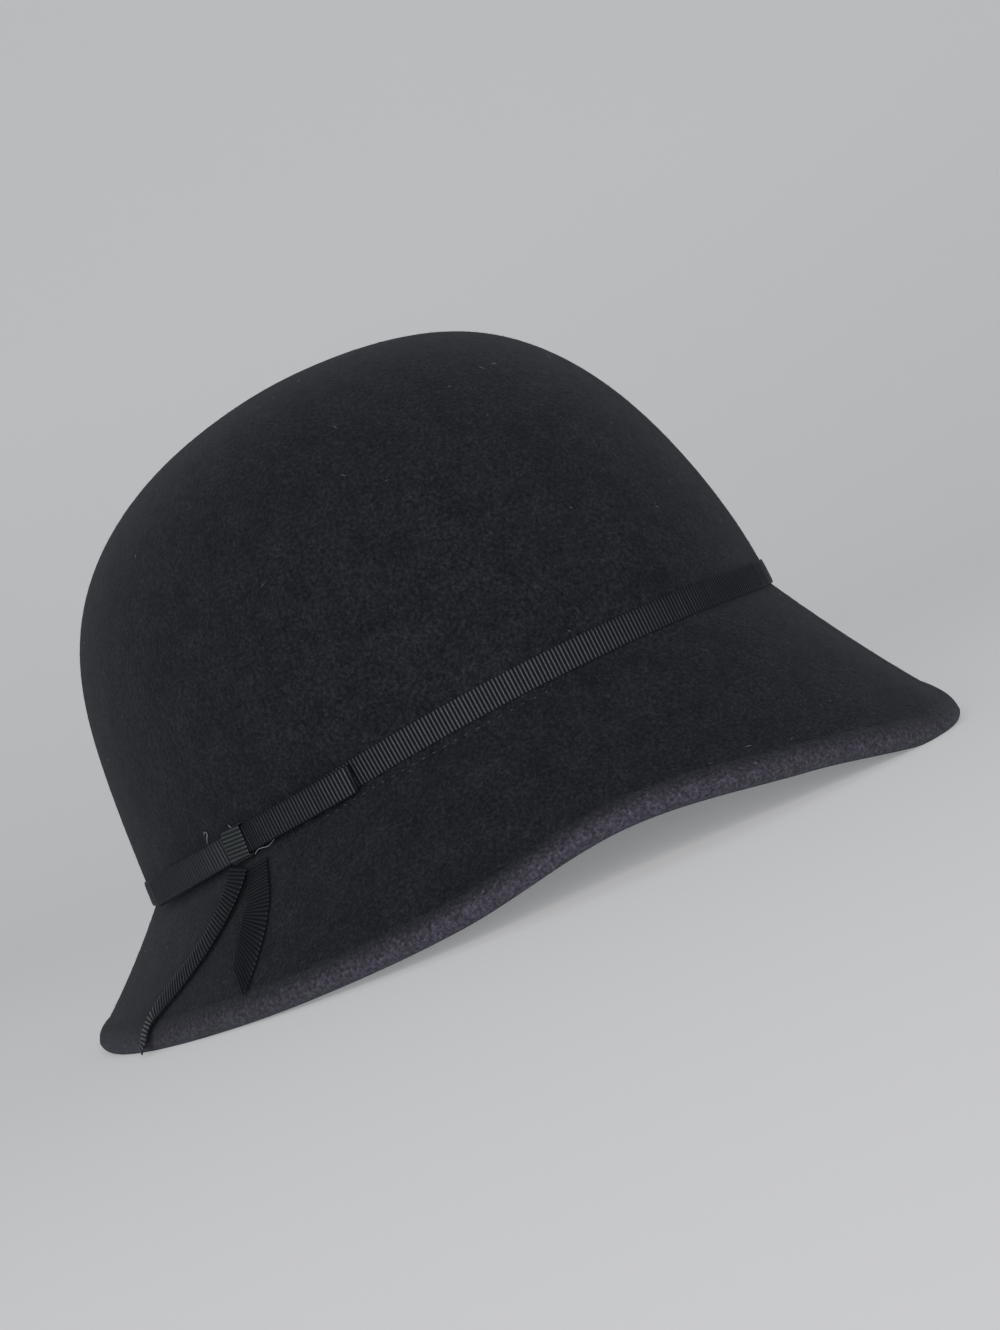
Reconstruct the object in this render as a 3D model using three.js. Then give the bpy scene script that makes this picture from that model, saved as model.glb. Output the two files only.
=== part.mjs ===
// Cloche hat blocked from wool felt, with a narrow grosgrain ribbon band and a flat bow.
//
// Millimetres, +Z up. The hat stands on its brim on z = 0, the front of the hat is toward -Y and
// the wearer's left is toward +X, so the bow, on the wearer's right, is on the -X side.
// A heading is the angle round the hat in degrees: 0 at the front, 90 at the wearer's right and
// 180 at the back. Every surface is worked out from sections of the hat at such headings.

import * as THREE from 'three';
import { mergeVertices } from 'three/addons/utils/BufferGeometryUtils.js';

// ---------------------------------------------------------------- driving dimensions

const FELT_THICKNESS = 2.2;

// The foot of the crown, where the brim starts, is an ellipse seen from above.
const FOOT_HALF_LENGTH = 102.5;   // front to back
const FOOT_HALF_WIDTH = 85;       // side to side

// The crown's section is a superellipse that slopes at the front and is full at the back.
const CROWN_TOP = 157.2;
const CROWN_RISE = { mean: 2.93, front: -1.48 };    // power of the height
const CROWN_ROUND = { mean: 2.54, front: 0.74 };    // power of the radius
const CROWN_LEAN = { left: 6.5, back: 3.5 };        // the top's shift
const LEAN_START = 31;                              // height where the lean starts

// The brim at even headings; both sides of the hat are alike.
//   foot   height of the foot of the crown
//   reach  how far the brim's end stands out from the foot
//   edge   height of the brim's end, where the roll starts
const BRIM_STEP = 22.5;
const BRIM_SECTIONS = [
  { heading: 0, foot: 50.8, reach: 32.6, edge: 6.2 },
  { heading: 22.5, foot: 51.0, reach: 24.6, edge: 13.9 },
  { heading: 45, foot: 49.0, reach: 22.8, edge: 19.2 },
  { heading: 67.5, foot: 45.0, reach: 23.5, edge: 11.9 },
  { heading: 90, foot: 39.9, reach: 24.2, edge: 8.5 },
  { heading: 112.5, foot: 35.5, reach: 24.7, edge: 7.4 },
  { heading: 135, foot: 32.9, reach: 24.7, edge: 6.9 },
  { heading: 157.5, foot: 32.1, reach: 24.3, edge: 7.6 },
  { heading: 180, foot: 32.0, reach: 24.0, edge: 8.2 },
];

const BRIM_SAG = 0.6;             // how far the slope dips under a straight line, halfway down

// The edge is turned under in a soft roll, which stands a little proud of the brim above a dent.
const ROLL_RADIUS = 3.5;          // of the outer side
const ROLL_RISE = 1.0;            // how far it stands proud
const ROLL_TURN = 215;            // degrees past the brim's own normal
const DENT_RADIUS = 2.0;
const HEM_LENGTH = 2.0;           // straight felt after the roll, tucked in under the brim

// Where the roll meets the surface, the felt is pressed flat by this much.
const REST_FLAT = 0.35;

// Ribbon of the band and the bow.
const RIBBON_WIDTH = 7.2;
const RIBBON_THICKNESS = 0.6;
const RIBBON_GAP = 0.35;          // clearance between the felt and the band
const BAND_HEIGHT = 0.3;          // the band's lower edge over the foot of the crown

// The bow's knot, and the radius that turns a distance along the band into a heading.
const KNOT_HEADING = 102.8;
const BOW_RADIUS = 89;
const KNOT_HALF_WIDTH = 3.7;
const KNOT_LIFT = { back: 1.6, front: 4.3 };        // middle of the wrap, off the felt
const KNOT_HEIGHT = { low: -0.2, high: 8.2 };       // middle of the wrap, over the foot
const KNOT_CORNER = 0.9;

// Each loop leaves the knot, runs along the band, folds back and returns under itself.
//   along   distance from the middle of the knot
//   lift    distance off the felt
//   middle  height of the ribbon's middle line over the foot
const FRONT_LOOP = [
  { along: 1.4, lift: 3.4, middle: 4.0 },
  { along: 4.8, lift: 3.4, middle: 4.0 },
  { along: 9.0, lift: 4.3, middle: 3.9 },
  { along: 20.0, lift: 4.6, middle: 3.6 },
  { along: 36.0, lift: 4.8, middle: 3.1 },
  { along: 39.2, lift: 4.3, middle: 3.0 },
  { along: 39.9, lift: 3.2, middle: 3.0 },
  { along: 39.2, lift: 2.1, middle: 3.0 },
  { along: 36.0, lift: 1.7, middle: 3.1 },
  { along: 20.0, lift: 1.8, middle: 3.6 },
  { along: 9.0, lift: 2.2, middle: 3.9 },
  { along: 4.8, lift: 2.5, middle: 4.0 },
  { along: 1.4, lift: 2.5, middle: 4.0 },
];
const BACK_LOOP = [
  { along: -1.4, lift: 3.4, middle: 4.0 },
  { along: -4.8, lift: 3.4, middle: 4.0 },
  { along: -9.0, lift: 4.5, middle: 3.9 },
  { along: -20.0, lift: 6.0, middle: 3.7 },
  { along: -37.0, lift: 6.9, middle: 3.2 },
  { along: -39.4, lift: 6.3, middle: 3.1 },
  { along: -40.0, lift: 5.2, middle: 3.1 },
  { along: -39.4, lift: 4.1, middle: 3.1 },
  { along: -37.0, lift: 3.5, middle: 3.2 },
  { along: -20.0, lift: 2.7, middle: 3.7 },
  { along: -9.0, lift: 2.4, middle: 3.9 },
  { along: -4.8, lift: 2.5, middle: 4.0 },
  { along: -1.4, lift: 2.5, middle: 4.0 },
];

// Each tail hangs from under the knot down the brim.
//   heading  where it runs round the hat
//   down     distance down the brim from the foot
//   lift     distance of its middle line off the felt
//   twist    turn of the ribbon about its own length, in degrees; 0 lies flat on the brim
const LONG_TAIL = [
  { heading: 103.5, down: 4.4, lift: 3.2, twist: -4 },
  { heading: 104.4, down: 9.4, lift: 3.0, twist: -2 },
  { heading: 106.9, down: 15.6, lift: 2.5, twist: 0 },
  { heading: 109.5, down: 21.2, lift: 2.3, twist: 2 },
  { heading: 113.0, down: 27.2, lift: 2.2, twist: 2 },
  { heading: 116.2, down: 32.2, lift: 2.2, twist: 2 },
  { heading: 118.1, down: 36.4, lift: 2.4, twist: 4 },
  { heading: 118.7, down: 40.4, lift: 2.6, twist: 6 },
  { heading: 119.0, down: 44.0, lift: 1.9, twist: 6 },
  { heading: 119.3, down: 45.9, lift: 1.6, twist: 6 },
];
const SHORT_TAIL = [
  { heading: 100.0, down: 4.7, lift: 1.5, twist: 0 },
  { heading: 99.3, down: 10.2, lift: 1.5, twist: -4 },
  { heading: 98.5, down: 15.8, lift: 1.8, twist: -12 },
  { heading: 98.3, down: 21.6, lift: 2.3, twist: -20 },
  { heading: 98.7, down: 27.8, lift: 2.5, twist: -20 },
  { heading: 99.3, down: 33.4, lift: 2.5, twist: -14 },
  { heading: 99.5, down: 36.7, lift: 2.7, twist: -8 },
];
const SHORT_TAIL_SLANT = 4.5;     // how far the cut end slants, each way from the middle line
const SLANT_START = 0.4;          // part of the tail's length before the slant comes in

// Fineness of the facets.
const HEADING_COUNT = 60;
const CROWN_RINGS = 14;
const BRIM_RINGS = 6;
const DENT_RINGS = 2;
const ROLL_RINGS = 10;
const LOOP_STATIONS = 40;
const TAIL_STATIONS = 18;
const KNOT_CORNER_STEPS = 3;

// ---------------------------------------------------------------- sections of the felt

const radians = THREE.MathUtils.degToRad;

// The dent is an arc that leaves the brim and meets the roll. It turns by DENT_TURN, and the roll's
// centre lies ROLL_START past the brim's end.
const DENT_TURN = Math.acos((DENT_RADIUS + ROLL_RADIUS - ROLL_RISE) / (DENT_RADIUS + ROLL_RADIUS));
const ROLL_START = (DENT_RADIUS + ROLL_RADIUS) * Math.sin(DENT_TURN);

// A column of the brim table at any heading, as a smooth curve through the rows.
function brimValue(column, heading) {
  const lastRow = BRIM_SECTIONS.length - 1;
  const folded = Math.abs(((heading + 180) % 360 + 360) % 360 - 180);
  const row = (index) => {
    const mirrored = index < 0 ? -index : index > lastRow ? 2 * lastRow - index : index;
    return BRIM_SECTIONS[mirrored][column];
  };
  const start = Math.min(Math.floor(folded / BRIM_STEP), lastRow - 1);
  const part = folded / BRIM_STEP - start;
  const [before, from, to, after] = [row(start - 1), row(start), row(start + 1), row(start + 2)];
  const slopeFrom = (to - before) / 2;
  const slopeTo = (after - from) / 2;
  const square = part * part;
  const cube = square * part;
  return (2 * cube - 3 * square + 1) * from + (cube - 2 * square + part) * slopeFrom
    + (3 * square - 2 * cube) * to + (cube - square) * slopeTo;
}

function footRadius(heading) {
  const across = Math.sin(radians(heading)) / FOOT_HALF_WIDTH;
  const lengthways = Math.cos(radians(heading)) / FOOT_HALF_LENGTH;
  return 1 / Math.hypot(across, lengthways);
}

// The crown's radius at a climb of 0 at its foot to 1 at its top.
function crownRadius(heading, climb) {
  const toFront = Math.cos(radians(heading));
  const rise = CROWN_RISE.mean + CROWN_RISE.front * toFront;
  const round = CROWN_ROUND.mean + CROWN_ROUND.front * toFront;
  return footRadius(heading) * (1 - climb ** rise) ** (1 / round);
}

// The brim's slope in section: the straight line from its start to its end, with its direction and
// normal, and the direction and normal at the end of the sagging brim, where the roll starts.
function slopeTo(start, end) {
  const direction = end.clone().sub(start).normalize();
  const normal = new THREE.Vector2(-direction.y, direction.x);
  const endDirection = end.clone().sub(start).addScaledVector(normal, 4 * BRIM_SAG).normalize();
  const endNormal = new THREE.Vector2(-endDirection.y, endDirection.x);
  const rollCentre = end.clone()
    .addScaledVector(endDirection, ROLL_START)
    .addScaledVector(endNormal, ROLL_RISE - ROLL_RADIUS);
  return { start, end, direction, normal, endDirection, endNormal, rollCentre };
}

// The brim's end is lifted where the roll rests, so the felt keeps its thickness there.
function brimSlope(heading) {
  const start = new THREE.Vector2(footRadius(heading), brimValue('foot', heading));
  const end = new THREE.Vector2(start.x + brimValue('reach', heading), brimValue('edge', heading));
  const lowest = slopeTo(start, end).rollCentre.y - ROLL_RADIUS;
  end.y += Math.max(-REST_FLAT - lowest, 0);
  return slopeTo(start, end);
}

// A point of the brim's top side, by the part of the way from its start to its end.
function brimTop(slope, part) {
  return slope.start.clone().lerp(slope.end, part)
    .addScaledVector(slope.normal, -4 * BRIM_SAG * part * (1 - part));
}

// The top side of the felt in section, from the crown's top to the end of the hem,
// as points of radius and height.
function topProfile(heading) {
  const slope = brimSlope(heading);
  const profile = [];
  for (let ring = 0; ring <= CROWN_RINGS; ring++) {
    const climb = Math.cos(radians(90 * ring / CROWN_RINGS));
    const height = THREE.MathUtils.lerp(slope.start.y, CROWN_TOP, climb);
    profile.push(new THREE.Vector2(ring ? crownRadius(heading, climb) : 0, height));
  }
  for (let ring = 1; ring <= BRIM_RINGS; ring++) {
    profile.push(brimTop(slope, ring / BRIM_RINGS));
  }
  const { end, endDirection, endNormal, rollCentre } = slope;
  for (let ring = 1; ring <= DENT_RINGS; ring++) {
    const turn = DENT_TURN * ring / DENT_RINGS;
    profile.push(end.clone()
      .addScaledVector(endDirection, DENT_RADIUS * Math.sin(turn))
      .addScaledVector(endNormal, DENT_RADIUS * (1 - Math.cos(turn))));
  }
  const rollEnd = radians(ROLL_TURN);
  for (let ring = 1; ring <= ROLL_RINGS; ring++) {
    const turn = THREE.MathUtils.lerp(-DENT_TURN, rollEnd, ring / ROLL_RINGS);
    profile.push(rollCentre.clone()
      .addScaledVector(endDirection, ROLL_RADIUS * Math.sin(turn))
      .addScaledVector(endNormal, ROLL_RADIUS * Math.cos(turn)));
  }
  profile.push(profile[profile.length - 1].clone()
    .addScaledVector(endDirection, HEM_LENGTH * Math.cos(rollEnd))
    .addScaledVector(endNormal, -HEM_LENGTH * Math.sin(rollEnd)));
  return profile;
}

// The under side lies one felt thickness inside the top side.
function underProfile(profile) {
  return profile.map((point, index) => {
    if (index === 0) {
      return new THREE.Vector2(0, point.y - FELT_THICKNESS);
    }
    const next = profile[Math.min(index + 1, profile.length - 1)];
    const along = next.clone().sub(profile[index - 1]).normalize();
    return new THREE.Vector2(point.x + FELT_THICKNESS * along.y, point.y - FELT_THICKNESS * along.x);
  });
}

// A section point in space. The crown leans, more the higher it is.
function place(heading, radius, height) {
  const lean = (Math.max(height - LEAN_START, 0) / (CROWN_TOP - LEAN_START)) ** 2;
  const angle = radians(heading);
  return new THREE.Vector3(
    lean * CROWN_LEAN.left - radius * Math.sin(angle),
    lean * CROWN_LEAN.back - radius * Math.cos(angle),
    height);
}

// A point near the crown's wall, by its height over the foot and its distance off the felt.
function crownPoint(heading, heightOverFoot, lift) {
  const foot = brimValue('foot', heading);
  const climb = Math.max(heightOverFoot, 0) / (CROWN_TOP - foot);
  return place(heading, crownRadius(heading, climb) + lift, foot + heightOverFoot);
}

// A point near the brim, by its distance down the slope and its distance off the felt.
function brimPoint(heading, down, lift) {
  const slope = brimSlope(heading);
  const part = Math.min(down / slope.start.distanceTo(slope.end), 1);
  const sag = 4 * BRIM_SAG * part * (1 - part);
  const point = slope.start.clone()
    .addScaledVector(slope.direction, down)
    .addScaledVector(slope.normal, lift - sag);
  return place(heading, point.x, point.y);
}

// ---------------------------------------------------------------- solids

// A closed solid through a row of sections, each a closed loop of the same number of points.
// A ring joins its last section to its first; any other row gets flat ends.
function sweptSolid(sections, isRing) {
  const corners = [];
  const addTriangle = (a, b, c) => corners.push(a, b, c);
  const spanCount = isRing ? sections.length : sections.length - 1;
  for (let span = 0; span < spanCount; span++) {
    const here = sections[span];
    const there = sections[(span + 1) % sections.length];
    for (let side = 0; side < here.length; side++) {
      const next = (side + 1) % here.length;
      addTriangle(here[side], there[side], there[next]);
      addTriangle(here[side], there[next], here[next]);
    }
  }
  if (!isRing) {
    const first = sections[0];
    const last = sections[sections.length - 1];
    for (let side = 1; side < first.length - 1; side++) {
      addTriangle(first[0], first[side], first[side + 1]);
      addTriangle(last[0], last[side + 1], last[side]);
    }
  }
  return closedGeometry(corners);
}

// Merges shared corners, drops the triangles that this closes up, and turns the faces outward.
function closedGeometry(corners) {
  const loose = new THREE.BufferGeometry().setFromPoints(corners);
  const merged = mergeVertices(loose, 1e-3);
  const index = Array.from(merged.index.array);
  const position = merged.attributes.position;
  const [a, b, c] = [new THREE.Vector3(), new THREE.Vector3(), new THREE.Vector3()];
  const kept = [];
  let volume = 0;
  for (let i = 0; i < index.length; i += 3) {
    const [i0, i1, i2] = index.slice(i, i + 3);
    if (i0 === i1 || i1 === i2 || i2 === i0) {
      continue;
    }
    kept.push([i0, i1, i2]);
    a.fromBufferAttribute(position, i0);
    b.fromBufferAttribute(position, i1);
    c.fromBufferAttribute(position, i2);
    volume += a.dot(b.cross(c)) / 6;
  }
  merged.setIndex(kept.flatMap(([i0, i1, i2]) => (volume > 0 ? [i0, i1, i2] : [i0, i2, i1])));
  merged.computeVertexNormals();
  return merged;
}

function headings() {
  return Array.from({ length: HEADING_COUNT }, (_, index) => index * 360 / HEADING_COUNT);
}

// Crown, brim and rolled edge, as one shell that is open below and flat where it rests on z = 0.
function feltBody() {
  const sections = headings().map((heading) => {
    const top = topProfile(heading);
    const loop = [...top, ...underProfile(top).reverse()];
    return loop.map((point) => place(heading, point.x, Math.max(point.y, 0)));
  });
  return sweptSolid(sections, true);
}

// Ribbon round the foot of the crown.
function hatBand() {
  const sections = headings().map((heading) => {
    const inner = RIBBON_GAP;
    const outer = RIBBON_GAP + RIBBON_THICKNESS;
    const top = BAND_HEIGHT + RIBBON_WIDTH;
    return [
      crownPoint(heading, BAND_HEIGHT, inner),
      crownPoint(heading, BAND_HEIGHT, outer),
      crownPoint(heading, top, outer),
      crownPoint(heading, top, inner),
    ];
  });
  return sweptSolid(sections, true);
}

function bowPoint(along, heightOverFoot, lift) {
  const heading = KNOT_HEADING - THREE.MathUtils.radToDeg(along / BOW_RADIUS);
  return crownPoint(heading, heightOverFoot, lift);
}

// A loop of the bow: one ribbon, folded back on itself.
function bowLoop(rows) {
  const path = new THREE.CatmullRomCurve3(
    rows.map((row) => new THREE.Vector3(row.along, row.lift, row.middle)), false, 'centripetal');
  const sections = [];
  for (let station = 0; station <= LOOP_STATIONS; station++) {
    const middle = path.getPointAt(station / LOOP_STATIONS);
    const direction = path.getTangentAt(station / LOOP_STATIONS);
    const off = new THREE.Vector2(-direction.y, direction.x).setLength(RIBBON_THICKNESS / 2);
    const corner = (side, edge) => bowPoint(
      middle.x + side * off.x, middle.z + edge * RIBBON_WIDTH / 2, middle.y + side * off.y);
    sections.push([corner(-1, -1), corner(1, -1), corner(1, 1), corner(-1, 1)]);
  }
  return sweptSolid(sections, false);
}

// The knot: a ribbon wrapped round the middle of the loops, as a rounded square ring.
function bowKnot() {
  const outline = [];
  const corners = [
    { height: KNOT_HEIGHT.high, lift: KNOT_LIFT.front, turn: 0 },
    { height: KNOT_HEIGHT.high, lift: KNOT_LIFT.back, turn: 90 },
    { height: KNOT_HEIGHT.low, lift: KNOT_LIFT.back, turn: 180 },
    { height: KNOT_HEIGHT.low, lift: KNOT_LIFT.front, turn: 270 },
  ];
  for (const { height, lift, turn } of corners) {
    const centreHeight = height - KNOT_CORNER * Math.sign(height - KNOT_HEIGHT.low - 1);
    const centreLift = lift - KNOT_CORNER * Math.sign(lift - KNOT_LIFT.back - 1);
    for (let step = 0; step <= KNOT_CORNER_STEPS; step++) {
      const angle = radians(turn + 90 * step / KNOT_CORNER_STEPS);
      outline.push({ centreHeight, centreLift, up: Math.sin(angle), out: Math.cos(angle) });
    }
  }
  const sections = outline.map(({ centreHeight, centreLift, up, out }) => {
    const corner = (side, edge) => {
      const radius = KNOT_CORNER + side * RIBBON_THICKNESS / 2;
      return bowPoint(edge * KNOT_HALF_WIDTH, centreHeight + radius * up, centreLift + radius * out);
    };
    return [corner(-1, -1), corner(1, -1), corner(1, 1), corner(-1, 1)];
  });
  return sweptSolid(sections, true);
}

// A tail of the bow: a ribbon that may twist about its own length. Its far end is cut square,
// or on a slant that runs so far back at one edge and on at the other.
function bowTail(rows, slant) {
  const path = new THREE.CatmullRomCurve3(
    rows.map((row) => new THREE.Vector3(row.heading, row.down, row.lift)), false, 'centripetal');
  const twists = new THREE.SplineCurve(rows.map((row, index) => new THREE.Vector2(index, row.twist)));
  const middles = [];
  const normals = [];
  for (let station = 0; station <= TAIL_STATIONS; station++) {
    const { x: heading, y: down, z: lift } = path.getPoint(station / TAIL_STATIONS);
    const point = brimPoint(heading, down, lift);
    middles.push(point);
    normals.push(brimPoint(heading, down, lift + 1).sub(point));
  }
  const sections = middles.map((middle, station) => {
    const before = middles[Math.max(station - 1, 0)];
    const after = middles[Math.min(station + 1, TAIL_STATIONS)];
    const direction = after.clone().sub(before).normalize();
    const twist = radians(twists.getPoint(station / TAIL_STATIONS).y);
    const across = normals[station].clone().cross(direction).normalize().applyAxisAngle(direction, twist);
    const face = direction.clone().cross(across);
    const skew = slant * Math.max(station / TAIL_STATIONS - SLANT_START, 0) / (1 - SLANT_START);
    const corner = (side, edge) => middle.clone()
      .addScaledVector(face, side * RIBBON_THICKNESS / 2)
      .addScaledVector(across, edge * RIBBON_WIDTH / 2)
      .addScaledVector(direction, edge * skew);
    return [corner(-1, -1), corner(1, -1), corner(1, 1), corner(-1, 1)];
  });
  return sweptSolid(sections, false);
}

// ---------------------------------------------------------------- the hat

const felt = new THREE.MeshStandardMaterial({ color: 0x23262c, roughness: 0.95, metalness: 0 });
const grosgrain = new THREE.MeshStandardMaterial({ color: 0x17181d, roughness: 0.6, metalness: 0 });

const pieces = [
  { name: 'felt_body', geometry: feltBody(), material: felt },
  { name: 'hat_band', geometry: hatBand(), material: grosgrain },
  { name: 'bow_loop_front', geometry: bowLoop(FRONT_LOOP), material: grosgrain },
  { name: 'bow_loop_back', geometry: bowLoop(BACK_LOOP), material: grosgrain },
  { name: 'bow_knot', geometry: bowKnot(), material: grosgrain },
  { name: 'bow_tail_long', geometry: bowTail(LONG_TAIL, 0), material: grosgrain },
  { name: 'bow_tail_short', geometry: bowTail(SHORT_TAIL, SHORT_TAIL_SLANT), material: grosgrain },
];

// The origin is on the floor, under the middle of the hat's outer box.
const group = new THREE.Group();
const box = new THREE.Box3();
for (const { name, geometry, material } of pieces) {
  const mesh = new THREE.Mesh(geometry, material);
  mesh.name = name;
  group.add(mesh);
  box.expandByObject(mesh);
}
const middle = box.getCenter(new THREE.Vector3());
group.position.set(-middle.x, -middle.y, 0);

export default group;
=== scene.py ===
"""Looks of a wool felt cloche hat with a narrow grosgrain band and a flat bow.

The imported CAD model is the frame. Its soft pieces are stood for by finer ones, worked out from the
same named sizes and sections. Sizes here are in millimetres, and meshes are made in metres.
A heading is the angle round the hat in degrees: 0 at the front (-Y), 90 at the wearer's right (-X).
"""

import math

import bpy
import numpy as np
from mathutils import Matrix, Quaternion, Vector


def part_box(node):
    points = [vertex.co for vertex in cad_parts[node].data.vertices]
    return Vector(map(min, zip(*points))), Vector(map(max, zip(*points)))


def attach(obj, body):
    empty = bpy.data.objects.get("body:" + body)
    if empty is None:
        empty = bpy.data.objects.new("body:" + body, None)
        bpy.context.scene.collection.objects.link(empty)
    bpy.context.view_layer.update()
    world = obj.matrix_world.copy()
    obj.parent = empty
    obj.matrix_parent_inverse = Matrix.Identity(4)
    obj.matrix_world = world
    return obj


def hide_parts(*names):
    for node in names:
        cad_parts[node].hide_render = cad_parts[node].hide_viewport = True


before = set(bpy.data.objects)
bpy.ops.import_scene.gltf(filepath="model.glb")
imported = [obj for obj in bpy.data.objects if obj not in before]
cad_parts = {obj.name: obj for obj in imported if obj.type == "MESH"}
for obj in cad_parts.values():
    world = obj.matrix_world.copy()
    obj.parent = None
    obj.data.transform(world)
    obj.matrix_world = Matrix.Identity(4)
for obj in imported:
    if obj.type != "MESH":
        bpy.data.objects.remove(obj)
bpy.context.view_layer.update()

MM = 0.001

# ---------------------------------------------------------------- sizes shared with the CAD model

FELT_THICKNESS = 2.2
FOOT_HALF_LENGTH = 102.5
FOOT_HALF_WIDTH = 85.0

CROWN_TOP = 157.2
CROWN_RISE = {"mean": 2.93, "front": -1.48}
CROWN_ROUND = {"mean": 2.54, "front": 0.74}
CROWN_LEAN = {"left": 6.5, "back": 3.5}
LEAN_START = 31.0

# foot: height of the crown's foot; reach: how far the brim's end stands out; edge: the end's height
BRIM_STEP = 22.5
BRIM_SECTIONS = {
    "heading": [0, 22.5, 45, 67.5, 90, 112.5, 135, 157.5, 180],
    "foot": [50.8, 51.0, 49.0, 45.0, 39.9, 35.5, 32.9, 32.1, 32.0],
    "reach": [32.6, 24.6, 22.8, 23.5, 24.2, 24.7, 24.7, 24.3, 24.0],
    "edge": [6.2, 13.9, 19.2, 11.9, 8.5, 7.4, 6.9, 7.6, 8.2],
}
BRIM_SAG = 0.6

# The edge is turned under in a soft roll, which stands a little proud of the brim above a dent.
ROLL_RADIUS = 3.5
ROLL_RISE = 1.0
ROLL_TURN = 215.0
DENT_RADIUS = 2.0
HEM_LENGTH = 2.0
REST_FLAT = 0.35

RIBBON_WIDTH = 7.2
RIBBON_THICKNESS = 0.6
BAND_HEIGHT = 0.3

KNOT_HEADING = 102.8
BOW_RADIUS = 89.0
KNOT_HALF_WIDTH = 3.7
KNOT_LIFT = {"back": 1.6, "front": 4.3}
KNOT_HEIGHT = {"low": -0.2, "high": 8.2}
KNOT_CORNER = 0.9

# Rows of (along, lift, middle): distance from the knot's middle, off the felt, and over the foot.
FRONT_LOOP = [
    (1.4, 3.4, 4.0),
    (4.8, 3.4, 4.0),
    (9.0, 4.3, 3.9),
    (20.0, 4.6, 3.6),
    (36.0, 4.8, 3.1),
    (39.2, 4.3, 3.0),
    (39.9, 3.2, 3.0),
    (39.2, 2.1, 3.0),
    (36.0, 1.7, 3.1),
    (20.0, 1.8, 3.6),
    (9.0, 2.2, 3.9),
    (4.8, 2.5, 4.0),
    (1.4, 2.5, 4.0),
]
BACK_LOOP = [
    (-1.4, 3.4, 4.0),
    (-4.8, 3.4, 4.0),
    (-9.0, 4.5, 3.9),
    (-20.0, 6.0, 3.7),
    (-37.0, 6.9, 3.2),
    (-39.4, 6.3, 3.1),
    (-40.0, 5.2, 3.1),
    (-39.4, 4.1, 3.1),
    (-37.0, 3.5, 3.2),
    (-20.0, 2.7, 3.7),
    (-9.0, 2.4, 3.9),
    (-4.8, 2.5, 4.0),
    (-1.4, 2.5, 4.0),
]

# Rows of (heading, down, lift, twist): twist turns the ribbon about its own length.
LONG_TAIL = [
    (103.5, 4.4, 3.2, -4),
    (104.4, 9.4, 3.0, -2),
    (106.9, 15.6, 2.5, 0),
    (109.5, 21.2, 2.3, 2),
    (113.0, 27.2, 2.2, 2),
    (116.2, 32.2, 2.2, 2),
    (118.1, 36.4, 2.4, 4),
    (118.7, 40.4, 2.6, 6),
    (119.0, 44.0, 1.9, 6),
    (119.3, 45.9, 1.6, 6),
]
SHORT_TAIL = [
    (100.0, 4.7, 1.5, 0),
    (99.3, 10.2, 1.5, -4),
    (98.5, 15.8, 1.8, -12),
    (98.3, 21.6, 2.3, -20),
    (98.7, 27.8, 2.5, -20),
    (99.3, 33.4, 2.5, -14),
    (99.5, 36.7, 2.7, -8),
]
SHORT_TAIL_SLANT = 4.5
SLANT_START = 0.4

# ---------------------------------------------------------------- sizes of the fine surface

HEADING_COUNT = 320
CROWN_ROWS = 72
BRIM_ROWS = 34
DENT_ROWS = 5
ROLL_ROWS = 26
HEM_ROWS = 2
EDGE_ROWS = 5
DENT_SOFTENING = 14         # passes that ease the dent above the roll
WALL_WAVE = 0.22            # slow unevenness of the blocked felt
BAND_LIFT = 0.12            # of the ribbon's back off the felt
RIB_PITCH = 1.02
RIB_HEIGHT = 0.24
RIB_STATIONS = 6
RIBBON_COLUMNS = 9
RIB_VARIATION = 0.10        # spread of the ribs' heights, as a share
PICOT_DEPTH = 0.10          # how far the edge steps in between ribs
CURVE_STEPS = 24            # of a smooth path, between two of its rows
ROLL_PAINTED_LIGHT_COLOUR = (0.0265, 0.0245, 0.0315, 1.0)    # painted light: the paler felt colour of the roll, as if lit from below

# Loose wool fibres and lint, as closed slivers: how many, their length, rise and half width.
NAP = {"count": 14000, "length": (0.5, 1.7), "rise": (0.05, 0.42), "radius": 0.032}
LINT = {"count": 90, "length": (0.7, 2.4), "rise": (0.08, 0.35), "radius": 0.055}
STITCHES = {"first": 44.0, "last": 84.0, "count": 22, "down": 1.9, "length": 1.5, "radius": 0.09}
FIBRE_FLOOR = 2.5           # fibres start above this height
FIBRE_ROOT = 0.03           # how deep a fibre's start lies in the felt
THREAD_RADIUS = 0.07
THREAD_SIDES = 6

# Rows of (along, height over the foot, lift), as on the bow.
THREAD_PATHS = [
    [(0.4, 7.9, 3.2), (0.0, 9.0, 3.8), (-1.0, 9.5, 3.0), (-1.9, 9.3, 2.2)],
    [(3.6, -0.5, 2.6), (6.2, 0.1, 3.3), (8.8, -0.4, 2.5), (10.6, 0.3, 1.6)],
    [(-13.2, 8.4, 1.5), (-12.3, 9.4, 1.8), (-12.0, 10.6, 1.4), (-13.1, 11.4, 1.2), (-13.9, 10.8, 1.0)],
]

# ---------------------------------------------------------------- where the model lies

# The CAD model is centred on its outer box, so its sections are shifted along Y with it.
low_corner = np.array(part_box("felt_body")[0]) / MM


def lerp(start, end, part):
    return start + (end - start) * part


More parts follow.
